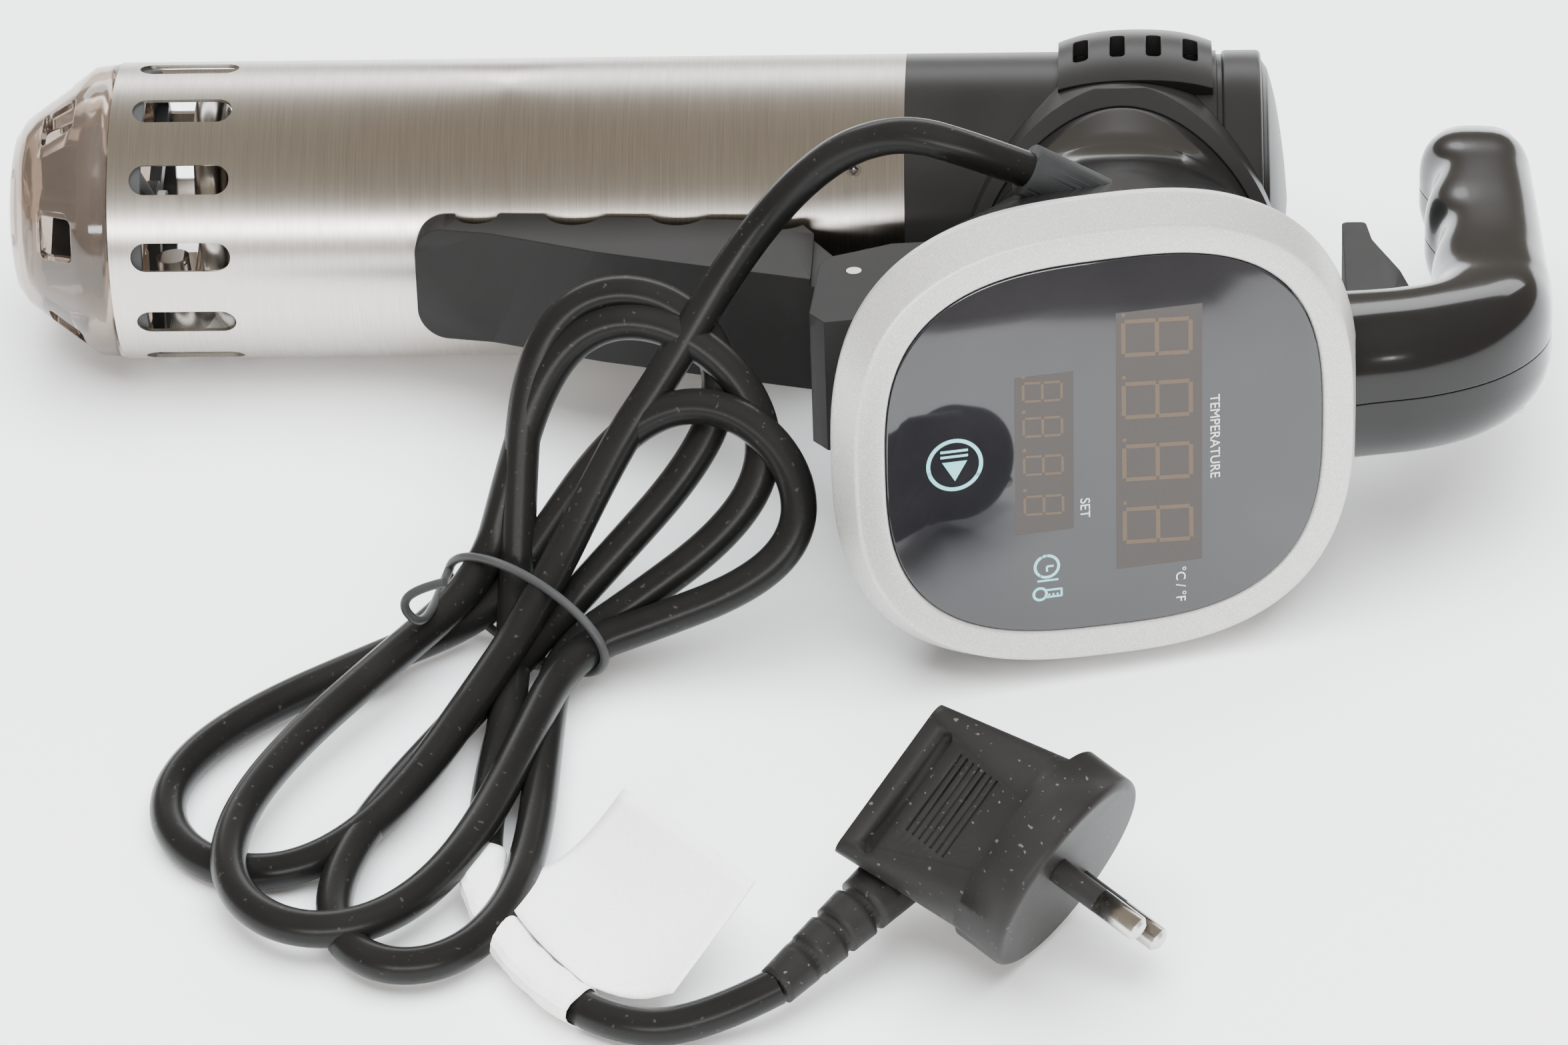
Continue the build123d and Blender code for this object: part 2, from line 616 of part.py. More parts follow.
with BuildPart() as clip_lever:
    with BuildSketch(Plane.XZ.offset(-LEVER_HALF)):
        with BuildLine():
            Polyline(*LEVER_OUTLINE, close=True)
        make_face()
    extrude(amount=2 * LEVER_HALF)
    end_corners = clip_lever.edges().filter_by(Axis.Z).group_by(Axis.X)[0]
    fillet(end_corners, 6)
    for side in (-1, 1):
        with BuildSketch(Plane.XY.offset(20)):
            with Locations((174, side * (LEVER_NECK_HALF + 3))):
                Rectangle(21, 6)
        extrude(amount=60, mode=Mode.SUBTRACT)
    for at, bite_r, depth in BITES:
        with BuildSketch(Plane.XZ.offset(-20)):
            with Locations((at, LEVER_TIPS + depth - bite_r)):
                Circle(bite_r)
        extrude(amount=LONG_CUT, mode=Mode.SUBTRACT)
    # channel open towards the tube
    with BuildSketch(Plane.XZ.offset(-LEVER_HALF + 2)):
        with BuildLine():
            Polyline((92.6, 20), (92.6, 32.6), (160, 47.6), (181, 52), (181, 20), close=True)
        make_face()
    extrude(amount=2 * LEVER_HALF - 4, mode=Mode.SUBTRACT)
    # short arm that the rod pulls
    with BuildSketch(Plane.XZ.offset(-3.8)):
        with BuildLine():
            Polyline((167, 56), (168.4, 74), (175.6, 74), (177, 56), close=True)
        make_face()
    extrude(amount=7.6)
    with BuildSketch(Plane.XZ.offset(-20)):
        with Locations((HINGE_AT, ROD_OUT)):
            SlotOverall(4.8, 3.2, rotation=90)
        with Locations((HINGE_AT, HINGE_OUT)):
            Circle(PIN_HOLE_R)
    extrude(amount=40, mode=Mode.SUBTRACT)
    with BuildSketch(Plane.XZ.offset(-1.7)):
        with Locations((178, ROD_OUT + 1)):
            Rectangle(20, 10)
    extrude(amount=3.4, mode=Mode.SUBTRACT)
    # room for the spring beside the arm
    with BuildSketch(Plane.XY.offset(54.6)):
        with Locations((175.5, -6.1)):
            Rectangle(19, 4.4)
    extrude(amount=30, mode=Mode.SUBTRACT)
    with BuildSketch(Plane.YZ.offset(60)):
        Circle(TUBE_R + 0.35)
    extrude(amount=130, mode=Mode.SUBTRACT)
clip_lever.part.label = "clip_lever"

with BuildPart() as clip_pin:
    with BuildSketch(Plane.XZ.offset(-YOKE_HALF)):
        with Locations((HINGE_AT, HINGE_OUT)):
            Circle(HINGE_PIN_R)
    extrude(amount=2 * YOKE_HALF)
clip_pin.part.label = "clip_pin"

with BuildPart() as clip_spring:
    with BuildLine():
        winding = Helix(1.15, 3.2, 2.9, center=(HINGE_AT, -7.7, HINGE_OUT), direction=(0, 1, 0))
    with BuildSketch(Plane(origin=winding @ 0, z_dir=winding % 0)):
        Circle(0.45)
    sweep()
clip_spring.part.label = "clip_spring"

YOKE_OUTLINE = [(165.2, 57), (166.5, 53.5), (172, 51), (179, 47.6), (214, 44), (214, 83), (167, 82),
                (164, 78)]
with BuildPart() as clip_yoke:
    with BuildSketch(Plane.XZ.offset(-YOKE_HALF)):
        with BuildLine():
            Polyline(*YOKE_OUTLINE, close=True)
        make_face()
    extrude(amount=2 * YOKE_HALF)
    with BuildSketch(Plane.XZ.offset(-CHEEK_IN)):
        with Locations((152, 60)):
            Rectangle(62, 36)
    extrude(amount=2 * CHEEK_IN, mode=Mode.SUBTRACT)
    with BuildSketch(Plane.XZ.offset(-YOKE_HALF)):
        with Locations((HINGE_AT, HINGE_OUT)):
            Circle(HINGE_PIN_R)
    extrude(amount=2 * YOKE_HALF, mode=Mode.SUBTRACT)
    with BuildSketch(Plane.YZ.offset(160)):
        with Locations((0, ROD_OUT)):
            Circle(ROD_WAY_R)
    extrude(amount=60, mode=Mode.SUBTRACT)
    add(head_solid.part, mode=Mode.SUBTRACT)
    add(neck_collar.part, mode=Mode.SUBTRACT)
clip_yoke.part.label = "clip_yoke"

# ---------------------------------------------------------------- cord, its tie, label and plug
# Points on the table: X and Y before the origin is moved to the middle of the device's footprint, Z above
# the table.


def cord_radii(points, least=8.0):
    """Radius of each corner: as large as its two runs allow."""
    found = []
    for before, corner, after in zip(points, points[1:], points[2:]):
        run_in, run_out = Vector(corner) - Vector(before), Vector(after) - Vector(corner)
        half_turn = radians(run_in.get_angle(run_out)) / 2
        found.append(max(least, 0.45 * min(run_in.length, run_out.length) / tan(half_turn)))
    return found


def cord_tube(points):
    radii = cord_radii(points)
    print("arc radii", [round(r, 1) for r in radii])
    with BuildPart() as tube:
        with BuildLine() as route:
            FilletPolyline(*points, radius=radii)
        path = route.wire()
        with BuildSketch(Plane(origin=path @ 0, z_dir=path % 0)):
            Circle(CORD_D / 2)
        sweep()
    print("length", round(path.length, 1), "volume", round(tube.part.volume),
          "section x length", round(path.length * pi * CORD_D ** 2 / 4))
    return tube


gland_end = (LAY * Pos(*(Vector(*EXIT_AT) + EXIT_AIM * GLAND_OUT))).position - TABLE.position
LEAD = [
    tuple(gland_end), (195.5, -74, 95.3), (184, -70.5, 97), (173, -67.2, 92), (163.8, -65.8, 83.5),
    (155.5, -67.5, 74), (148, -71.5, 64.5), (141, -77, 55), (134, -83.5, 46), (126.5, -90, 37.5),
]
TAIL = [
    (107, -132, 7), (104.5, -150, 4.6), (104, -170, 3.7), (107.5, -188, 3.7), (116, -204, 3.7),
    (129, -216.5, 3.7), (145, -219.5, 4.2), (160.5, -211.8, 8.0),
]
cord_lead = cord_tube(LEAD)
cord_lead.part.label = "cord_lead"
cord_tail = cord_tube(TAIL)
cord_tail.part.label = "cord_tail"

LOWER_LOBE = [(101, -94), (90, -103), (70, -120), (57, -144), (51, -166), (55, -182), (69, -197), (83, -205),
              (93, -198), (98, -176), (100, -153), (108, -133), (118, -117), (113, -100)]
UPPER_LOBE = [(-8, -8), (1, 20), (6, 38), (12, 55), (21, 65), (32, 66), (43, 59), (51, 44), (53, 31),
              (49, 18), (38, 7), (24, -3), (8, -12)]
LEAN = Plane(origin=(112, -107, 8), x_dir=(1, 0, 0), z_dir=(0, -0.846, 0.533))
with BuildPart() as cord_hank:
    with BuildSketch(Plane.XY.offset(0.3)):
        with BuildLine():
            Spline(*LOWER_LOBE, periodic=True)
        make_face()
    extrude(amount=15.5)
    with BuildSketch(LEAN.offset(-8)):
        with BuildLine():
            Spline(*UPPER_LOBE, periodic=True)
        make_face()
    extrude(amount=16)
    with BuildSketch(Plane.XY.offset(0.3)):
        Rectangle(900, 900)
    extrude(amount=-60, mode=Mode.SUBTRACT)
cord_hank.part.label = "cord_hank"

with BuildPart() as cord_tie:
    with BuildSketch(Plane(origin=(110, -108, 11), x_dir=(-0.66, 0.75, 0), z_dir=(0.75, 0.66, 0.02))):
        RectangleRounded(42, 21, 7)
        RectangleRounded(38, 17.5, 6, mode=Mode.SUBTRACT)
    extrude(amount=2.5, both=True)
    add(cord_hank.part, mode=Mode.SUBTRACT)
    with BuildSketch(Plane.XY.offset(0.2)):
        Rectangle(900, 900)
    extrude(amount=-60, mode=Mode.SUBTRACT)
cord_tie.part.label = "cord_tie"

with BuildPart() as cord_label:
    with BuildSketch(Plane(origin=(104, -176, 7.8), x_dir=(1, 0, 0), z_dir=(0, 0.02, 1))):
        with BuildLine():
            Polyline((-2, 5), (25, 24), (50, 8), (34, -15), (15, -26), close=True)
        make_face()
    extrude(amount=0.5)
cord_label.part.label = "cord_label"

PIN_R, PIN_LENGTH, PIN_PITCH = 2.4, 19.0, 19.0
SLEEVE_LENGTH, SLEEVE_SKIN = 9.5, 0.5
PLUG_AIM = Vector(0.787, -0.559, -0.295).normalized()
PLUG_UP = Vector(0.6, 0.502, 0.622)
PLUG = Plane(origin=(213.5, -196.8, 21.0), x_dir=PLUG_UP - PLUG_AIM * PLUG_UP.dot(PLUG_AIM), z_dir=PLUG_AIM)
RELIEF_FROM, RELIEF_TO = Vector(180.2, -192.2, 15.2), Vector(160.5, -211.8, 8.0)
RELIEF_AIM = (RELIEF_TO - RELIEF_FROM).normalized()

PLUG_R, PLUG_DISC, PLUG_DEEP = 20.5, 10.0, 36.0
PLUG_SHOULDER = (-1, 37, 32, 11)     # centre, length, width and corner radius where the disc ends
PLUG_BACK = (-5, 33, 20, 2.5)        # the same at the back face
FLANK_MID, FLANK_HALF = -22.0, 12.9
RIDGE_PITCH, RIDGE_COUNT = 1.5, 7
flank_lean = (PLUG_SHOULDER[2] - PLUG_BACK[2]) / 2 / (PLUG_DEEP - PLUG_DISC)

with BuildPart() as plug_body:
    with BuildSketch(PLUG):
        Circle(PLUG_R)
    extrude(amount=-PLUG_DISC)
    fillet(plug_body.faces().sort_by(Axis(PLUG.origin, PLUG_AIM))[-1].edges(), 1.5)
    for height, (middle, length, width, corner) in ((-PLUG_DISC, PLUG_SHOULDER), (-PLUG_DEEP, PLUG_BACK)):
        with BuildSketch(PLUG.offset(height)):
            with Locations((middle, 0)):
                RectangleRounded(length, width, corner)
    loft()
    # a long finger groove and fine grip grooves on both sloping flanks
    for side in (-1, 1):
        flank = Plane(
            origin=PLUG.from_local_coords((-2, side * FLANK_HALF, FLANK_MID)),
            x_dir=PLUG.x_dir,
            z_dir=PLUG.y_dir * side - PLUG.z_dir * flank_lean,
        )
        with BuildSketch(flank):
            with Locations(flank.to_local_coords(PLUG.from_local_coords((-5, side * FLANK_HALF, -31.5)))):
                SlotOverall(27, 3.4)
        extrude(amount=-2.2, both=True, mode=Mode.SUBTRACT)
        with BuildSketch(flank):
            with GridLocations(1, RIDGE_PITCH, 1, RIDGE_COUNT):
                Rectangle(17, 0.7)
        extrude(amount=0.5, both=True, mode=Mode.SUBTRACT)
plug_body.part.label = "plug_body"

with BuildPart() as plug_strain_relief:
    relief_length = (RELIEF_TO - RELIEF_FROM).length
    with BuildSketch(Plane(origin=RELIEF_FROM - RELIEF_AIM * 4, z_dir=RELIEF_AIM)):
        Circle(6.2)
    extrude(amount=relief_length + 4, taper=4)
    for step in (6, 13, 20):
        with BuildSketch(Plane(origin=RELIEF_FROM + RELIEF_AIM * step, z_dir=RELIEF_AIM)):
            Circle(8)
            Circle(4.3, mode=Mode.SUBTRACT)
        extrude(amount=2, mode=Mode.SUBTRACT)
    add(plug_body.part, mode=Mode.SUBTRACT)
plug_strain_relief.part.label = "plug_strain_relief"

with BuildPart() as plug_pin_sleeves:
    with BuildSketch(PLUG):
        with GridLocations(1, PIN_PITCH, 1, 2):
            Circle(PIN_R)
            Circle(PIN_R - SLEEVE_SKIN, mode=Mode.SUBTRACT)
    extrude(amount=SLEEVE_LENGTH)
plug_pin_sleeves.part.label = "plug_pin_sleeves"

with BuildPart() as plug_pins:
    with BuildSketch(PLUG):
        with GridLocations(1, PIN_PITCH, 1, 2):
            Circle(PIN_R - SLEEVE_SKIN)
    extrude(amount=PIN_LENGTH)
    with BuildSketch(PLUG.offset(SLEEVE_LENGTH)):
        with GridLocations(1, PIN_PITCH, 1, 2):
            Circle(PIN_R)
    extrude(amount=PIN_LENGTH - SLEEVE_LENGTH)
    chamfer(plug_pins.faces().sort_by(Axis(PLUG.origin, PLUG_AIM))[-2:].edges(), 0.9)
plug_pins.part.label = "plug_pins"

# ---------------------------------------------------------------- written pieces
DEVICE_PIECES = [
    pump_cap, cap_ring, shaft_bushing, drive_shaft, impeller, steel_sleeve, heater_coil, temperature_probe,
    level_probes, bulkhead, bulkhead_seal, sleeve_screws, upper_housing, vent_grille, housing_end_ring,
    housing_top_cap, motor_mount, motor_body, cooling_fan, power_board, neck_collar, head_back_shell,
    cable_gland, bezel_ring, display_gasket, display_glass, display_board, led_module_large, led_module_small,
    handle_left_shell, handle_right_shell, handle_screws, trigger_pin, trigger, pull_rod, clip_lever,
    clip_pin, clip_spring, clip_yoke,
]
TABLE_PIECES = [
    cord_lead, cord_tail, cord_hank, cord_tie, cord_label, plug_body, plug_strain_relief, plug_pin_sleeves,
    plug_pins,
]
for place, pieces in ((LAY, DEVICE_PIECES), (TABLE, TABLE_PIECES)):
    for piece in pieces:
        piece.part.location = place
        export_step(piece.part, f"parts/{piece.part.label}.step")
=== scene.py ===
import bpy, bmesh, json
from math import cos, sin, pi, radians, sqrt
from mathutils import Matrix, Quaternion, Vector


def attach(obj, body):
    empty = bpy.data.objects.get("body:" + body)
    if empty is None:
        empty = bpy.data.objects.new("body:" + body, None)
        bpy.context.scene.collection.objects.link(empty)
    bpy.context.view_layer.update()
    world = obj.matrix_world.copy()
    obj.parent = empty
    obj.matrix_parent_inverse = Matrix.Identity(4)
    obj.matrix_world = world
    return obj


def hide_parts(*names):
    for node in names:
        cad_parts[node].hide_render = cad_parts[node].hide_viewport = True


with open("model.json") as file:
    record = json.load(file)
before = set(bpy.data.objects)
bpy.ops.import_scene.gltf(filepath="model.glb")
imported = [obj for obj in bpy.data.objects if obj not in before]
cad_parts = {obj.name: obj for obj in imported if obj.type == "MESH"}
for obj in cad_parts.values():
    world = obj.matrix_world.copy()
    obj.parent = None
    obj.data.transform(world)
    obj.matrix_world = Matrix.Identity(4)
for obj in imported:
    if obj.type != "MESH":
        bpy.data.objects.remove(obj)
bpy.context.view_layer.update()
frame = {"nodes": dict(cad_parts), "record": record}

MM = 0.001
# the device's own axes (x up the tube, y the user's left, z out of the tube) as it lies on the table
REST_ROLL, ORIGIN_X, ORIGIN_Y, TUBE_R = radians(10.27), 153.88, -45.60, 30.0
OUT = Vector((0, -cos(REST_ROLL), sin(REST_ROLL)))
LEFT = Vector((0, sin(REST_ROLL), cos(REST_ROLL)))
NODES = frame["nodes"]


def dev(a, s, c):
    """A point given up the tube, to the user's left and out of the tube, in metres in the row frame."""
    return (Vector((a - ORIGIN_X, -ORIGIN_Y, TUBE_R)) + LEFT * s + OUT * c) * MM


def tab(x, y, z):
    """A point on the table, in metres in the row frame."""
    return Vector((x - ORIGIN_X, y - ORIGIN_Y, z)) * MM


# ---------------------------------------------------------------- camera
def make_camera():
    data = bpy.data.cameras.new("camera")
    data.lens, data.sensor_width, data.clip_start = 165.3, 36, 0.05
    cam = bpy.data.objects.new("camera", data)
    bpy.context.scene.collection.objects.link(cam)
    cam.location = Vector((71.12, -1135.98, 879.05)) * MM
    aim = Vector((2.94, -20.5, 0)) * MM - cam.location
    cam.rotation_mode = "QUATERNION"
    cam.rotation_quaternion = aim.to_track_quat("-Z", "Y") @ Quaternion((0, 0, 1), radians(-2.642))
    bpy.context.scene.camera = cam


make_camera()


# ---------------------------------------------------------------- materials
def new_material(name):
    mat = bpy.data.materials.new(name)
    mat.use_nodes = True
    tree = mat.node_tree
    return mat, tree, tree.nodes["Principled BSDF"]


def add_node(tree, kind, **values):
    node = tree.nodes.new(kind)
    for key, value in values.items():
        if key in node.inputs:
            node.inputs[key].default_value = value
        else:
            setattr(node, key, value)
    return node


def noise(tree, scale, detail=4.0, rough=0.55, stretch=(1, 1, 1)):
    coords = add_node(tree, "ShaderNodeTexCoord")
    mapping = add_node(tree, "ShaderNodeMapping")
    mapping.inputs["Scale"].default_value = stretch
    tex = add_node(tree, "ShaderNodeTexNoise")
    tex.inputs["Scale"].default_value = scale
    tex.inputs["Detail"].default_value = detail
    tex.inputs["Roughness"].default_value = rough
    tree.links.new(coords.outputs["Object"], mapping.inputs["Vector"])
    tree.links.new(mapping.outputs["Vector"], tex.inputs["Vector"])
    return tex


def ramp(tree, source, stops):
    node = add_node(tree, "ShaderNodeValToRGB")
    band = node.color_ramp
    while len(band.elements) < len(stops):
        band.elements.new(0.5)
    for element, (place, colour) in zip(band.elements, stops):
        element.position = place
        element.color = (*colour, 1) if len(colour) == 3 else colour
    tree.links.new(source, node.inputs["Fac"])
    return node


def spread(tree, source, low, high):
    node = add_node(tree, "ShaderNodeMapRange")
    node.inputs["To Min"].default_value, node.inputs["To Max"].default_value = low, high
    tree.links.new(source, node.inputs["Value"])
    return node.outputs["Result"]


def bumps(tree, shader, source, strength, distance, edge=0.0):
    bump = add_node(tree, "ShaderNodeBump")
    bump.inputs["Strength"].default_value = strength
    bump.inputs["Distance"].default_value = distance
    tree.links.new(source, bump.inputs["Height"])
    if edge:
        bevel = add_node(tree, "ShaderNodeBevel", samples=4)
        bevel.inputs["Radius"].default_value = edge
        tree.links.new(bevel.outputs["Normal"], bump.inputs["Normal"])
    tree.links.new(bump.outputs["Normal"], shader.inputs["Normal"])


def plastic(name, dark, light, rough, grain=2500, grain_height=0.00002, edge=0.0004, coat=0.0, dust=0.0,
            shine=0.15):
    """Moulded plastic: slight cloudy colour change, fine spark-eroded grain, and dust where asked."""
    mat, tree, shader = new_material(name)
    cloud = noise(tree, 35, 6)
    tone = ramp(tree, cloud.outputs["Fac"], [(0.3, dark), (0.7, light)])
    colour = tone.outputs["Color"]
    if dust:
        specks = noise(tree, 900, 2, 0.4)
        mask = ramp(tree, specks.outputs["Fac"], [(0.69, (0, 0, 0)), (0.74, (dust, dust, dust))])
        mix = add_node(tree, "ShaderNodeMix", data_type="RGBA")
        tree.links.new(mask.outputs["Color"], mix.inputs["Factor"])
        tree.links.new(colour, mix.inputs["A"])
        mix.inputs["B"].default_value = (0.38, 0.36, 0.33, 1)
        colour = mix.outputs["Result"]
    tree.links.new(colour, shader.inputs["Base Color"])
    smear = noise(tree, 18, 5, 0.6)
    tree.links.new(spread(tree, smear.outputs["Fac"], rough - 0.05, rough + 0.07), shader.inputs["Roughness"])
    shader.inputs["Specular IOR Level"].default_value = shine
    shader.inputs["Coat Weight"].default_value = coat
    shader.inputs["Coat Roughness"].default_value = 0.06
    fine = noise(tree, grain, 2, 0.5)
    bumps(tree, shader, fine.outputs["Fac"], 0.5, grain_height, edge)
    return mat


def steel(name, turned=True):
    """Stainless steel brushed round the tube."""
    mat, tree, shader = new_material(name)
    stretch = (1, 0.012, 0.012) if turned else (0.02, 1, 1)
    lines = noise(tree, 5200, 3, 0.6, stretch)
    broad = noise(tree, 900, 3, 0.6, stretch)
    tone = ramp(tree, lines.outputs["Fac"], [(0.25, (0.50, 0.47, 0.43)), (0.75, (0.66, 0.63, 0.585))])
    tree.links.new(tone.outputs["Color"], shader.inputs["Base Color"])
    shader.inputs["Metallic"].default_value = 1
    shader.inputs["Anisotropic"].default_value = 0.55
    tree.links.new(spread(tree, broad.outputs["Fac"], 0.26, 0.36), shader.inputs["Roughness"])
    bumps(tree, shader, lines.outputs["Fac"], 0.35, 0.00001)
    return mat


def metal(name, colour, rough):
    mat, tree, shader = new_material(name)
    cloud = noise(tree, 300, 5)
    darker = tuple(v * 0.8 for v in colour)
    tone = ramp(tree, cloud.outputs["Fac"], [(0.3, darker), (0.7, colour)])
    tree.links.new(tone.outputs["Color"], shader.inputs["Base Color"])
    shader.inputs["Metallic"].default_value = 1
    tree.links.new(spread(tree, cloud.outputs["Fac"], rough - 0.06, rough + 0.08), shader.inputs["Roughness"])
    scratches = noise(tree, 4000, 2, 0.5, (1, 0.05, 0.05))
    bumps(tree, shader, scratches.outputs["Fac"], 0.3, 0.00001, 0.0002)
    return mat


def sparkle_paint(name):
    """Silver paint with fine metal flakes."""
    mat, tree, shader = new_material(name)
    flakes = noise(tree, 5200, 1, 0.4)
    tone = ramp(tree, flakes.outputs["Fac"],
                [(0.35, (0.46, 0.45, 0.43)), (0.62, (0.60, 0.59, 0.57)), (0.75, (0.8, 0.8, 0.78))])
    tree.links.new(tone.outputs["Color"], shader.inputs["Base Color"])
    shader.inputs["Metallic"].default_value = 0.55
    shader.inputs["Roughness"].default_value = 0.42
    bumps(tree, shader, flakes.outputs["Fac"], 0.25, 0.000015, 0.0003)
    return mat


def smoky_clear(name):
    mat, tree, shader = new_material(name)
    cloud = noise(tree, 60, 4)
    tone = ramp(tree, cloud.outputs["Fac"], [(0.3, (0.34, 0.27, 0.22)), (0.7, (0.42, 0.34, 0.28))])
    tree.links.new(tone.outputs["Color"], shader.inputs["Base Color"])
    shader.inputs["Transmission Weight"].default_value = 0.9
    shader.inputs["Roughness"].default_value = 0.07
    shader.inputs["IOR"].default_value = 1.45
    fine = noise(tree, 700, 3)
    bumps(tree, shader, fine.outputs["Fac"], 0.2, 0.00003, 0.0004)
    return mat


def dark_glass(name):
    mat, tree, shader = new_material(name)
    haze = noise(tree, 40, 5)
    tone = ramp(tree, haze.outputs["Fac"], [(0.3, (0.012, 0.012, 0.014)), (0.7, (0.02, 0.019, 0.021))])
    tree.links.new(tone.outputs["Color"], shader.inputs["Base Color"])
    tree.links.new(spread(tree, haze.outputs["Fac"], 0.03, 0.07), shader.inputs["Roughness"])
    shader.inputs["Coat Weight"].default_value = 0.4
    return mat


def printed(name, colour, rough=0.12):
    mat, tree, shader = new_material(name)
    grain = noise(tree, 3000, 2)
    darker = tuple(v * 0.86 for v in colour)
    tone = ramp(tree, grain.outputs["Fac"], [(0.3, darker), (0.7, colour)])
    tree.links.new(tone.outputs["Color"], shader.inputs["Base Color"])
    shader.inputs["Roughness"].default_value = rough
    return mat


def paper(name):
    mat, tree, shader = new_material(name)
    fibre = noise(tree, 1200, 6, 0.7)
    tone = ramp(tree, fibre.outputs["Fac"], [(0.3, (0.80, 0.79, 0.77)), (0.7, (0.90, 0.895, 0.88))])
    tree.links.new(tone.outputs["Color"], shader.inputs["Base Color"])
    shader.inputs["Roughness"].default_value = 0.75
    bumps(tree, shader, fibre.outputs["Fac"], 0.4, 0.00004)
    return mat


M = {
    "smoky_plastic": smoky_clear("smoky_clear"),
    "brushed_steel": steel("brushed_steel"),
    "screw_steel": metal("screw_steel", (0.5, 0.5, 0.5), 0.3),
    "satin_plastic": plastic("satin_plastic", (0.010, 0.0095, 0.009), (0.014, 0.013, 0.0125), 0.33, 1800,
                             0.00002),
    "gloss_plastic": plastic("gloss_plastic", (0.006, 0.0055, 0.0055), (0.009, 0.0085, 0.008), 0.14, 600,
                             0.000006, 0.0004, 0.3),
    "matte_plastic": plastic("matte_plastic", (0.010, 0.0095, 0.009), (0.015, 0.014, 0.0135), 0.5, 2600,
                             0.00004, 0.0005),
    "inner_plastic": plastic("inner_plastic", (0.03, 0.03, 0.03), (0.05, 0.05, 0.05), 0.4),
    "bushing": plastic("bushing_plastic", (0.6, 0.58, 0.5), (0.7, 0.68, 0.6), 0.4),
    "seal_rubber": plastic("seal_rubber", (0.015, 0.015, 0.015), (0.025, 0.025, 0.025), 0.55),
    "motor_metal": metal("motor_metal", (0.25, 0.25, 0.26), 0.4),
    "board": plastic("board", (0.02, 0.10, 0.04), (0.03, 0.14, 0.06), 0.4),
    "silver_paint": sparkle_paint("silver_paint"),
    "display_glass": dark_glass("dark_glass"),
    "led_module": plastic("led_module", (0.05, 0.04, 0.035), (0.07, 0.055, 0.045), 0.2),
    "cord_sheath": plastic("cord_sheath", (0.006, 0.0058, 0.0055), (0.010, 0.0095, 0.009), 0.3, 1500,
                           0.00003, 0.0, 0, 0.05),
    "cord_tie": plastic("tie_plastic", (0.03, 0.03, 0.03), (0.05, 0.05, 0.05), 0.3),
    "paper": paper("paper"),
    "plug_plastic": plastic("plug_plastic", (0.010, 0.0095, 0.009), (0.016, 0.015, 0.014), 0.42, 2200,
                            0.00004, 0.0005, 0, 0.15),
    "pin_metal": metal("pin_metal", (0.66, 0.63, 0.60), 0.25),
}
SLOT_OF = {s["node"]: s["material_slot"] for s in frame["record"]["subparts"]}


def wear(obj, material):
    obj.data.materials.clear()
    obj.data.materials.append(material)


for node_name, obj in NODES.items():
    wear(obj, M[SLOT_OF[node_name]])


# ---------------------------------------------------------------- mesh helpers
def link_mesh(name, verts, faces, sharp=35):
    mesh = bpy.data.meshes.new(name)
    mesh.from_pydata(verts, [], faces)
    obj = bpy.data.objects.new(name, mesh)
    bpy.context.scene.collection.objects.link(obj)
    work = bmesh.new()
    work.from_mesh(mesh)
    bmesh.ops.remove_doubles(work, verts=work.verts, dist=1e-6)
    bmesh.ops.recalc_face_normals(work, faces=work.faces)
    work.to_mesh(mesh)
    work.free()
    shade(obj, sharp)
    return obj


def shade(obj, sharp=35):
    obj.data.polygons.foreach_set("use_smooth", [True] * len(obj.data.polygons))
    obj.data.set_sharp_from_angle(angle=radians(sharp))


def skin(name, rings, place=dev, close_ends=True, loop=False, sharp=35):
    """A surface through closed rings of points, each ring with the same count; loop joins last to first."""
    count = len(rings[0])
    verts = [place(*p) for ring in rings for p in ring]
    faces = []
    for i in range(len(rings) if loop else len(rings) - 1):
        n = (i + 1) % len(rings)
        for j in range(count):
            k = (j + 1) % count
            faces.append((i * count + j, i * count + k, n * count + k, n * count + j))
    if close_ends and not loop:
        faces.append(tuple(reversed(range(count))))
        faces.append(tuple(range((len(rings) - 1) * count, len(rings) * count)))
    return link_mesh(name, verts, faces, sharp)


def lathe(name, profile, steps=128, sharp=30):
    """A closed profile of (up the tube, radius) turned round the tube's axis."""
    turns = [2 * pi * j / steps for j in range(steps)]
    rings = [[(a, r * sin(t), r * cos(t)) for a, r in profile] for t in turns]
    return skin(name, rings, loop=True, sharp=sharp)


def settle(obj, *names, slot=None, hide=True, body=None):
    """obj takes those CAD nodes' body and material slot, and stands for them."""
    slot = slot or SLOT_OF[names[0]]
    wear(obj, M[slot])
    bodies = frame["record"]["behaviour"]["bodies"]
    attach(obj, body or next(b for b, members in bodies.items() if names[0] in members))
    if hide:
        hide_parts(*names)
    return obj


def cad_copy(name, sharp=28):
    """The CAD node's own shape with its facets shaded smooth."""
    work = bmesh.new()
    work.from_mesh(NODES[name].data)
    bmesh.ops.remove_doubles(work, verts=work.verts, dist=2e-6)
    mesh = bpy.data.meshes.new(name + "_shape")
    work.to_mesh(mesh)
    work.free()
    obj = bpy.data.objects.new(name + "_shape", mesh)
    bpy.context.scene.collection.objects.link(obj)
    shade(obj, sharp)
    return obj


def true_round(obj, *axes):
    """Corner normals that follow the exact cylinders, given as (point, direction, least radius)."""
    mesh = obj.data
    normals = []
    for face in mesh.polygons:
        for corner in face.loop_indices:
            co = mesh.vertices[mesh.loops[corner].vertex_index].co
            normal = face.normal
            for point, direction in axes:
                away = co - point
                away = (away - direction * away.dot(direction)).normalized()
                if abs(away.dot(face.normal)) > 0.9:
                    normal = away if away.dot(face.normal) > 0 else -away
                    break
            normals.append(normal)
    mesh.normals_split_custom_set([tuple(n) for n in normals])
    return obj


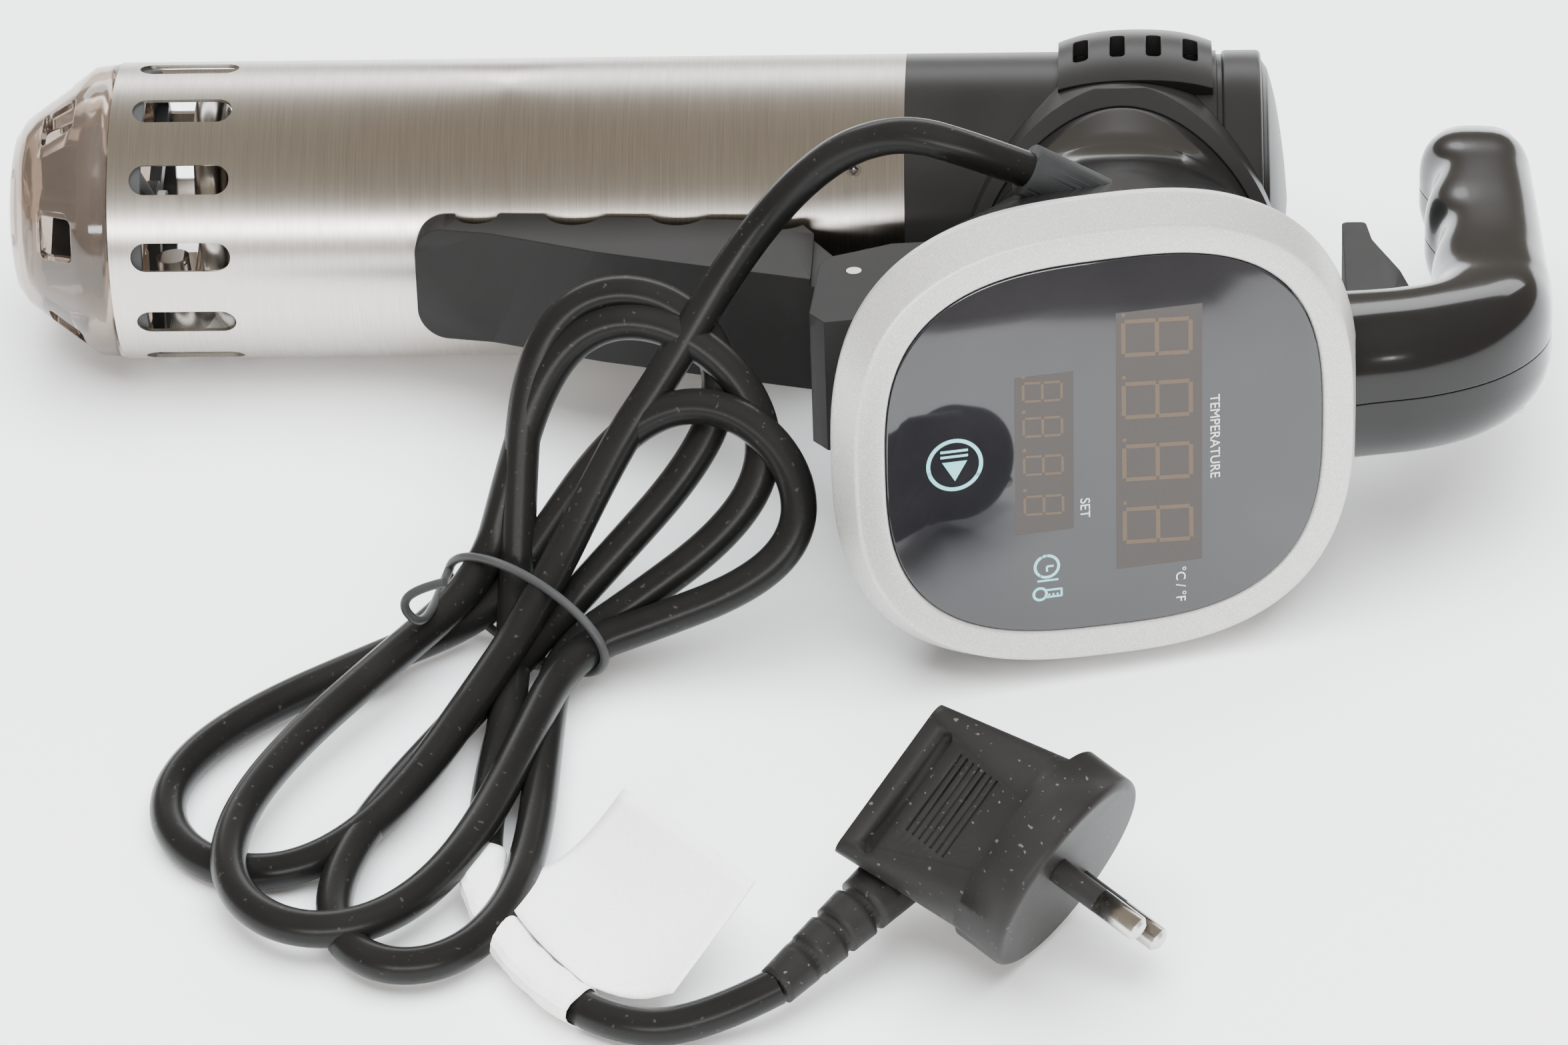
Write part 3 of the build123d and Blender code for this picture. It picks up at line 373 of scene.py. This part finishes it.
TUBE_AXIS = (dev(0, 0, 0), Vector((1, 0, 0)))
NECK_AT = 224.0
NECK_AXIS = (dev(NECK_AT, 0, 0), OUT)


def blend_curve(values, t):
    """Catmull-Rom through the values, t from 0 to 1."""
    last = len(values) - 1
    place = min(t * last, last - 1e-9)
    i = int(place)
    f = place - i
    p0, p1, p2, p3 = (values[max(0, min(last, i + k))] for k in (-1, 0, 1, 2))
    return 0.5 * (2 * p1 + (p2 - p0) * f + (2 * p0 - 5 * p1 + 4 * p2 - p3) * f * f
                  + (3 * p1 - p0 - 3 * p2 + p3) * f ** 3)


# ---------------------------------------------------------------- cord
EXIT = (212.0, 41.0, 79.0)
EXIT_AIM = Vector((-0.83, 0.53, 0.18)).normalized()
GLAND_OUT = 7.0
CORD_D = 7.0
EXIT_POINT = dev(*(Vector(EXIT) + EXIT_AIM * GLAND_OUT))

LEAD = [(195.5, -74, 95.3), (184, -70.5, 97), (173, -67.2, 92), (163.8, -65.8, 83.5), (155.5, -67.5, 74),
        (148, -71.5, 64.5), (141, -77, 55), (134, -83.5, 46), (126.5, -90, 37.5)]
TAIL = [(107, -132, 7), (104.5, -150, 4.6), (104, -170, 3.7), (107.5, -188, 3.7), (116, -204, 3.7),
        (129, -216.5, 3.7), (145, -219.5, 4.2), (160.5, -211.8, 8.0)]
TIE_AT = Vector((109, -108, 0))
TIE_ACROSS = Vector((0.67, -0.74, 0))
LEAN_UP = Vector((0, 0.533, 0.846))
LEAN_OUT = Vector((0, -0.846, 0.533))
X_AXIS = Vector((1, 0, 0))


LOBE_POINTS = 12


def through_tie(across, height):
    return TIE_AT + TIE_ACROSS * across + Vector((0, 0, height))


def lobe(start, end, turn, length, width, lift, upper, side):
    """One loop of the hank, from the tie out and back. turn is its heading in degrees: on the table from
    the tube's axis, or in the leaning plane from its upward line."""
    if upper:
        along = LEAN_UP * cos(radians(turn)) + X_AXIS * sin(radians(turn))
        across = X_AXIS * cos(radians(turn)) - LEAN_UP * sin(radians(turn))
    else:
        along = Vector((cos(radians(turn)), sin(radians(turn)), 0))
        across = Vector((-sin(radians(turn)), cos(radians(turn)), 0))
    points = []
    for i in range(1, LOBE_POINTS):
        t = i / LOBE_POINTS
        base = start.lerp(end, t)
        out = sin(pi * t) ** 0.85
        p = base + along * length * out + across * side * width * sin(2 * pi * t)
        if upper:
            p += LEAN_OUT * lift * out
        else:
            p.z = base.z * (1 - out) + lift * out
        points.append(p)
    return points


# where each pass lies in the tie: across it, and height above the table
PASSES = [(3, 14), (-10, 6), (12.5, 9), (-13, 12), (8, 5), (3.5, 7.5), (-4, 6.5)]
# heading, length, half width, lift, whether it leans on the lever, and the side it turns to
LOBES = [(229, 86, 18, 3.7, False, 1), (52, 60, 15, 4.5, True, -1), (244, 95, 16, 7.5, False, 1),
         (36, 64, 18, 0.5, True, -1), (255, 94, 16, 5.5, False, 1), (23, 69, 17, -3.5, True, 1)]


def hank():
    ties = [through_tie(*p) for p in PASSES]
    points = [ties[0]]
    for start, end, shape in zip(ties, ties[1:], LOBES):
        points += lobe(start, end, *shape) + [end]
    return points


def nurbs_tube(name, points, radius, cyclic=False):
    data = bpy.data.curves.new(name, "CURVE")
    data.dimensions = "3D"
    spline = data.splines.new("NURBS")
    spline.points.add(len(points) - 1)
    for slot, p in zip(spline.points, points):
        slot.co = (*p, 1)
    spline.order_u = 3
    spline.use_endpoint_u = not cyclic
    spline.use_cyclic_u = cyclic
    spline.resolution_u = 10
    data.bevel_depth = radius * MM
    data.bevel_resolution = 7
    data.use_fill_caps = True
    obj = bpy.data.objects.new(name, data)
    bpy.context.scene.collection.objects.link(obj)
    return obj


def bare_line(obj):
    """The vertices of a curve object's own line, in order."""
    data = obj.data.copy()
    data.bevel_depth = 0
    ghost = bpy.data.objects.new("ghost", data)
    bpy.context.scene.collection.objects.link(ghost)
    mesh = bpy.data.meshes.new_from_object(ghost)
    points = [v.co.copy() for v in mesh.vertices]
    bpy.data.objects.remove(ghost)
    bpy.data.meshes.remove(mesh)
    return points


def make_cord():
    points = [EXIT_POINT] + [tab(*p) for p in LEAD + hank() + TAIL]
    obj = nurbs_tube("mains_cord", points, CORD_D / 2)
    return settle(obj, "cord_hank", "cord_lead", "cord_tail")


cord = make_cord()
CORD_LINE = bare_line(cord)


# ---------------------------------------------------------------- what is on the cord
def make_tie():
    """A thin wire tie round the hank with its twisted end at one side."""
    across, up = TIE_ACROSS, Vector((0, 0, 1))
    ring = []
    for k in range(16):
        t = 2 * pi * k / 16
        p = TIE_AT + across * 20.6 * cos(t) + up * (11 + 10.0 * sin(t)) + Vector((0.75, 0.66, 0)) * 3 * cos(t)
        ring.append(p)
    ring = ring[8:] + ring[:8]
    tail = [Vector(p) for p in ((90.5, -119.2, 17), (86.5, -120.5, 23), (89, -120, 27), (95.5, -121.5, 30))]
    obj = nurbs_tube("wire_tie", [tab(*p) for p in ring + [ring[0]] + tail], 0.9)
    return settle(obj, "cord_tie")


def make_label():
    """A paper flag: a crumpled wrap round the cord and a curled leaf standing off it."""
    near_edge = ((108.5, -181.5, 7.5), (111.5, -190, 7.5), (117.5, -199.5, 7), (125.5, -208.5, 6))
    near = [Vector(p) for p in near_edge]
    far = [Vector((130.8, -165.1, 16)), Vector((156.4, -193.9, 18)), Vector((141.8, -213.8, 8))]
    rows, columns, corner = 14, 24, 14
    verts, faces = [], []
    for i in range(columns + 1):
        t = i / columns
        a = Vector([blend_curve([p[k] for p in near], t) for k in range(3)])
        if i <= corner:
            b = far[0].lerp(far[1], i / corner)
        else:
            b = far[1].lerp(far[2], (i - corner) / (columns - corner))
        for j in range(rows + 1):
            v = j / rows
            p = a.lerp(b, v)
            p.z -= 5.5 * sin(pi * v) * (1 - 0.6 * t)
            p.z += 0.35 * sin(9 * t + 5 * v) * v
            verts.append(tab(*p))
    for i in range(columns):
        for j in range(rows):
            k = i * (rows + 1) + j
            faces.append((k, k + 1, k + rows + 2, k + rows + 1))
    leaf = link_mesh("label_leaf", verts, faces, 60)
    solid = leaf.modifiers.new("thick", "SOLIDIFY")
    solid.thickness = 0.00022
    settle(leaf, "cord_label")
    # the wrap follows the cord's own line
    start = min(range(len(CORD_LINE)), key=lambda k: (CORD_LINE[k] - tab(104, -171, 3.7)).length)
    stop = min(range(len(CORD_LINE)), key=lambda k: (CORD_LINE[k] - tab(125, -213, 3.7)).length)
    rings = []
    for k in range(start, stop + 1):
        centre = CORD_LINE[k]
        ahead = (CORD_LINE[k + 1] - CORD_LINE[k - 1]).normalized()
        side = ahead.cross(Vector((0, 0, 1))).normalized()
        up = side.cross(ahead)
        ring = []
        for j in range(24):
            t = 2 * pi * j / 24
            r = 3.9 + 0.35 * sin(3 * t + 0.9 * k) * sin(0.55 * k) + 1.6 * max(0, cos(t - 0.5)) ** 6
            p = centre + (side * cos(t) + up * sin(t)) * r * MM
            p.z = max(p.z, 0.0001)
            ring.append(p)
        rings.append(ring)
    wrap = skin("label_wrap", rings, place=lambda *p: Vector(p), close_ends=False, sharp=25)
    solid = wrap.modifiers.new("thick", "SOLIDIFY")
    solid.thickness = 0.0002
    settle(wrap, "cord_label", hide=False)
    return leaf, wrap


tie = make_tie()
leaf, wrap = make_label()
plug_names = ("plug_body", "plug_strain_relief", "plug_pins", "plug_pin_sleeves", "cable_gland")
plug_pieces = [settle(cad_copy(name), name) for name in plug_names]


# ---------------------------------------------------------------- tube and housing
for name in ("steel_sleeve", "upper_housing"):
    settle(true_round(cad_copy(name), TUBE_AXIS), name)
settle(true_round(cad_copy("neck_collar"), NECK_AXIS, TUBE_AXIS), "neck_collar")
settle(true_round(cad_copy("vent_grille"), TUBE_AXIS), "vent_grille")
for name in ("pump_cap", "heater_coil", "impeller", "cap_ring", "drive_shaft", "sleeve_screws",
             "handle_screws", "clip_lever", "clip_yoke", "trigger"):
    settle(cad_copy(name), name)

END_RING = [(243, 25), (243, 29.2), (244.1, 29.2), (244.2, 29.6), (244.5, 29.9), (245, 30), (251.1, 30),
            (251.6, 29.8), (251.9, 29.4), (252, 29), (252, 25)]
settle(lathe("end_ring", END_RING), "housing_end_ring")


def make_top_cap():
    points = [(252, 28.2), (252.8, 27.0), (253.5, 25.6), (255.1, 19), (256.5, 9), (257.2, 0.05)]
    crown = [tuple(blend_curve([p[k] for p in points], t / 24) for k in range(2)) for t in range(25)]
    return lathe("top_cap", [(250, 0.05), (250, 25), (252, 25)] + crown, sharp=50)


settle(make_top_cap(), "housing_top_cap")

# ---------------------------------------------------------------- display head
DISPLAY_AT, DISPLAY_OUT, DISPLAY_TILT = 218.7, 100.0, radians(14)
NARROW = 0.012
GLASS_TOP = 7.8


def face(u, v, w):
    """A point on the display: up, to the left and out of its face."""
    return dev(DISPLAY_AT + u * cos(DISPLAY_TILT) + w * sin(DISPLAY_TILT), v,
               DISPLAY_OUT - u * sin(DISPLAY_TILT) + w * cos(DISPLAY_TILT))


def oval(half_u, half_v, w, power=2.7, narrow=NARROW, count=144):
    ring = []
    for k in range(count):
        t = 2 * pi * k / count
        u = abs(cos(t)) ** (2 / power) * (1 if cos(t) >= 0 else -1)
        v = abs(sin(t)) ** (2 / power) * (1 if sin(t) >= 0 else -1)
        ring.append((half_u * u, half_v * v * (1 + narrow * u), w))
    return ring


def make_bezel():
    sections = [(38.5, 35.0, 4.4, 2.9), (42.5, 38.8, 4.4, 2.9), (42.5, 38.8, 7.5, 2.9),
                (42.8, 39.1, 7.9, 2.9), (43.2, 39.5, 8.0, 2.88), (47.6, 44.2, 8.0, 2.7),
                (48.2, 44.8, 7.85, 2.7), (48.6, 45.2, 7.4, 2.7), (51.1, 48.05, 1.1, 2.7),
                (51.35, 48.35, 0.5, 2.7), (51.3, 48.3, 0, 2.7), (50.4, 47.4, -3, 2.7),
                (38.5, 35.0, -3, 2.9)]
    return skin("bezel_shape", [oval(*s) for s in sections], face, loop=True, sharp=40)


settle(make_bezel(), "bezel_ring")


def make_glass():
    sections = [(42.3, 38.6, 5.3, 2.9), (42.3, 38.6, 7.5, 2.9), (42.2, 38.5, 7.7, 2.9),
                (41.95, 38.25, GLASS_TOP, 2.9)]
    return skin("display_pane", [oval(*s) for s in sections], face, sharp=30)


settle(make_glass(), "display_glass")

HEAD_SECTIONS = [(224, 34, 0, 28.9, 28.9, 2.0), (223.5, 46, 2, 30.8, 30.4, 2.15),
                 (221.8, 70, 8, 39.5, 38.0, 2.45), (217.97, 97.09, 14, 50.2, 47.2, 2.7)]


def make_head_shell():
    count = 144
    def ring(at, out, lean, half_u, half_v, power, inset=0):
        points = []
        for u, v, _ in oval(half_u - inset, half_v - inset, 0, power, 0, count):
            points.append((at + u * cos(radians(lean)), v, out - u * sin(radians(lean))))
        return points
    steps = 30
    columns = list(zip(*HEAD_SECTIONS))
    upper = [ring(*(blend_curve(column, t / steps) for column in columns)) for t in range(steps + 1)]
    foot = []
    for part in range(5):
        row = []
        for a, v, c in upper[0]:
            low = sqrt(max(0, 30.05 ** 2 - v * v))
            row.append((a, v, low + (c - low) * part / 5))
        foot.append(row)
    inner = [ring(*s, inset=2.6) for s in reversed(HEAD_SECTIONS)]
    return skin("head_shell", foot + upper + inner, close_ends=False, sharp=40)


settle(make_head_shell(), "head_back_shell")

# ---------------------------------------------------------------- display print
for key, colour in (("print_cyan", (0.27, 0.68, 0.70)), ("print_white", (0.72, 0.72, 0.70)),
                    ("window_tint", (0.026, 0.018, 0.014)), ("segment_tint", (0.075, 0.045, 0.02))):
    M[key] = printed(key, colour)
PRINT_PIECES = {"print_cyan": [], "print_white": [], "window_tint": [], "segment_tint": []}


def plate(kind, outlines):
    PRINT_PIECES[kind] += outlines


def bar(p, q, width):
    """A straight stroke from p to q, each (u, v)."""
    p, q = Vector(p), Vector(q)
    along = (q - p).normalized() * width / 2
    side = Vector((-along.y, along.x))
    return [p + side, p - side, q - side, q + side]


def ring_strokes(centre, radius, width, count=48):
    quads = []
    for k in range(count):
        t0, t1 = 2 * pi * k / count, 2 * pi * (k + 1) / count
        inner, outer = radius - width / 2, radius + width / 2
        corners = ((t0, inner), (t1, inner), (t1, outer), (t0, outer))
        quads.append([Vector(centre) + Vector((cos(t), sin(t))) * r for t, r in corners])
    return quads


def digit(u_low, u_high, v_mid, half_width, stroke):
    """Seven segments of a figure whose top is towards u_high, sloping slightly."""
    lean = 0.07 * (u_high - u_low)
    mid = (u_low + u_high) / 2
    def at(u, v):
        return (u, v - lean * (u - mid) / (u_high - u_low))
    gap = 0.28
    left, right = v_mid + half_width, v_mid - half_width
    strokes = [bar(at(u, left - gap), at(u, right + gap), stroke) for u in (u_low, mid, u_high)]
    for v in (left, right):
        strokes.append(bar(at(u_low + gap, v), at(mid - gap, v), stroke))
        strokes.append(bar(at(mid + gap, v), at(u_high - gap, v), stroke))
    strokes.append(bar(at(u_low - 0.3, left + 1.4), at(u_low + 0.4, left + 1.4), 0.7))
    return strokes


plate("window_tint", [[Vector(p) for p in ((2.2, 27.5), (18.9, 27.5), (18.7, -26.8), (1.9, -26.8))]])
plate("window_tint", [[Vector(p) for p in ((-17.5, 16.5), (-6.1, 16.5), (-6.3, -16.8), (-17.7, -16.8))]])
for v in (21.6, 8.5, -4.7, -18.1):
    plate("segment_tint", digit(3.6, 16.6, v, 3.5, 0.85))
for v in (13.0, 5.6, -2.5, -11.0):
    plate("segment_tint", digit(-15.8, -8.4, v, 1.9, 0.5))
START = (-29.2, -0.2)
plate("print_cyan", ring_strokes(START, 5.1, 0.75))
plate("print_cyan", [bar((-31.9, 1.6), (-26.6, 1.6), 0.5), bar((-31.9, 2.7), (-26.6, 2.7), 0.5)])
plate("print_cyan", [[Vector((-31.6, 0.5)), Vector((-26.8, 0.5)), Vector((-29.2, -3.6))]])
CLOCK = (-11.7, -24.3)
plate("print_cyan", ring_strokes(CLOCK, 2.3, 0.55, 32))
plate("print_cyan", [bar(CLOCK, (-10.4, -24.3), 0.4), bar(CLOCK, (-11.7, -25.4), 0.4)])
plate("print_cyan", [bar((-13.6, -27.3), (-9.5, -27.3), 0.4)])
BULB = (-13.1, -30.1)
plate("print_cyan", ring_strokes(BULB, 1.25, 0.5, 24))
plate("print_cyan", [bar((-12.0, -29.4), (-8.9, -29.4), 0.4), bar((-12.0, -30.9), (-8.9, -30.9), 0.4),
                     bar((-8.9, -29.3), (-8.9, -31.0), 0.4)])
plate("print_cyan", [bar((u, -30.2), (u, -30.9), 0.35) for u in (-11.3, -10.5, -9.7)])


def make_print(kind, height):
    verts, faces = [], []
    for outline in PRINT_PIECES[kind]:
        low, count = len(verts), len(outline)
        for w in (GLASS_TOP - 0.02, GLASS_TOP + height):
            verts += [face(p.x, p.y, w) for p in outline]
        faces.append(tuple(range(low + count, low + 2 * count)))
        for k in range(count):
            n = (k + 1) % count
            faces.append((low + k, low + n, low + count + n, low + count + k))
    obj = link_mesh(kind + "_marks", verts, faces, 20)
    wear(obj, M[kind])
    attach(obj, "frame")
    return obj


for kind, height in (("window_tint", 0.02), ("segment_tint", 0.04), ("print_cyan", 0.05)):
    make_print(kind, height)


def make_words(name, text, u, v, size):
    """A short label whose letters stand towards the display's top."""
    data = bpy.data.curves.new(name, "FONT")
    data.body, data.size, data.extrude = text, size * MM, 0.00003
    ghost = bpy.data.objects.new(name + "_ghost", data)
    bpy.context.scene.collection.objects.link(ghost)
    bpy.context.view_layer.update()
    mesh = bpy.data.meshes.new_from_object(ghost.evaluated_get(bpy.context.evaluated_depsgraph_get()))
    bpy.data.objects.remove(ghost)
    for vertex in mesh.vertices:
        x, y, z = vertex.co / MM
        vertex.co = face(u + y, v - x, GLASS_TOP + 0.02 + z)
    obj = bpy.data.objects.new(name, mesh)
    bpy.context.scene.collection.objects.link(obj)
    wear(obj, M["print_white"])
    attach(obj, "frame")


make_words("label_set", "SET", -5.0, -10.6, 2.7)
make_words("label_unit", "°C / °F", 13.6, -27.9, 2.7)
make_words("label_temperature", "TEMPERATURE", 20.4, 8.0, 2.7)

# ---------------------------------------------------------------- handle
HANDLE_PATH = [(236, 83), (250, 82), (266, 79.3), (279, 76.5), (288, 71.5), (293.5, 63.5), (295.3, 54),
               (295.4, 42), (295.4, 30), (295.4, 18), (295.3, 6), (295.6, -4), (296.2, -11)]
# half thickness in the bending plane on the inner and outer side, and half width, along the path
HANDLE_INNER = [17.0, 16.6, 14.6, 12.6, 11.0, 11.0, 11.6, 11.0, 9.0, 11.4, 9.2, 11.8, 10.6]
HANDLE_OUTER = [18.0, 16.5, 13.0, 12.6, 12.6, 12.8, 12.2, 11.8, 11.6, 11.4, 11.2, 10.6, 8.6]
HANDLE_WIDE = [15.0, 15.0, 15.0, 15.0, 14.8, 14.2, 13.2, 12.6, 12.4, 12.4, 12.4, 12.3, 10.6]


SEAM_GAP = 0.12
SEAM_CHAMFER = 0.99
GRIP_POWER = 3.0


def make_handle(side, name):
    """One half of the grip, its flat back on the seam."""
    steps, arc = 96, 22
    rings = []
    for i in range(steps + 1):
        t = i / steps
        a, c = (blend_curve([p[k] for p in HANDLE_PATH], t) for k in range(2))
        a2, c2 = (blend_curve([p[k] for p in HANDLE_PATH], min(1, t + 0.01)) for k in range(2))
        a1, c1 = (blend_curve([p[k] for p in HANDLE_PATH], max(0, t - 0.01)) for k in range(2))
        along = Vector((a2 - a1, c2 - c1)).normalized()
        inward = Vector((along.y, -along.x))
        inner, outer, wide = (blend_curve(v, t) for v in (HANDLE_INNER, HANDLE_OUTER, HANDLE_WIDE))
        ring = []
        for j in range(arc + 1):
            q = pi * j / arc
            x = abs(cos(q)) ** (2 / GRIP_POWER) * (1 if cos(q) >= 0 else -1)
            y = abs(sin(q)) ** (2 / GRIP_POWER)
            reach = inner if x > 0 else outer
            on_seam = j in (0, arc)
            spot = Vector((a, c)) + inward * (reach * x * (SEAM_CHAMFER if on_seam else 1))
            ring.append((spot.x, side * max(SEAM_GAP if on_seam else 0, wide * y), spot.y))
        rings.append(ring)
    # rounded end
    tip = Vector((296.6, -15.4))
    for shrink, forward in ((0.93, 0.35), (0.78, 0.65), (0.52, 0.88), (0.2, 1.0)):
        last = rings[steps]
        centre_a = sum(p[0] for p in last) / len(last)
        centre_c = sum(p[2] for p in last) / len(last)
        ring = []
        for a, s, c in last:
            ring.append((centre_a + (a - centre_a) * shrink + (tip.x - centre_a) * forward * 0.3,
                         s * shrink, centre_c + (c - centre_c) * shrink + (tip.y - centre_c) * forward))
        rings.append(ring)
    return skin(name, rings, sharp=50)


settle(make_handle(1, "grip_left"), "handle_left_shell")
settle(make_handle(-1, "grip_right"), "handle_right_shell")


# ---------------------------------------------------------------- floor and light
def make_floor():
    mat, tree, shader = new_material("floor")
    shader.inputs["Base Color"].default_value = (0.92, 0.92, 0.92, 1)
    shader.inputs["Roughness"].default_value = 0.8
    shader.inputs["Specular IOR Level"].default_value = 0.1
    mesh = bpy.data.meshes.new("floor")
    work = bmesh.new()
    bmesh.ops.create_grid(work, x_segments=2, y_segments=2, size=4)
    work.to_mesh(mesh)
    work.free()
    floor = bpy.data.objects.new("floor", mesh)
    bpy.context.scene.collection.objects.link(floor)
    floor.location.z = -0.0002
    mesh.materials.append(mat)


def area_light(name, at, aim, size, power, colour=(1, 1, 1), mirrored=True):
    data = bpy.data.lights.new(name, "AREA")
    data.shape, data.size, data.size_y = "RECTANGLE", size[0], size[1]
    data.energy, data.color = power, colour
    light = bpy.data.objects.new(name, data)
    bpy.context.scene.collection.objects.link(light)
    light.location = at
    light.rotation_mode = "QUATERNION"
    light.rotation_quaternion = (Vector(aim) - Vector(at)).to_track_quat("-Z", "Y")
    light.visible_glossy = mirrored


def make_world():
    world = bpy.data.worlds.new("world")
    bpy.context.scene.world = world
    world.use_nodes = True
    world.node_tree.nodes["Background"].inputs["Color"].default_value = (1.0, 0.88, 0.72, 1)
    world.node_tree.nodes["Background"].inputs["Strength"].default_value = 0.4


make_floor()
make_world()
area_light("overhead", (0.1, -0.1, 1.5), (0, -0.05, 0), (1.8, 1.8), 120, (0.92, 0.96, 1), mirrored=False)
area_light("front_strip", (0.0, -1.5, 0.62), (0, 0, 0.03), (1.6, 0.16), 22)
area_light("back_soft", (0.0, 1.5, 0.75), (0, 0, 0), (2.4, 0.5), 22, (0.95, 0.97, 1))
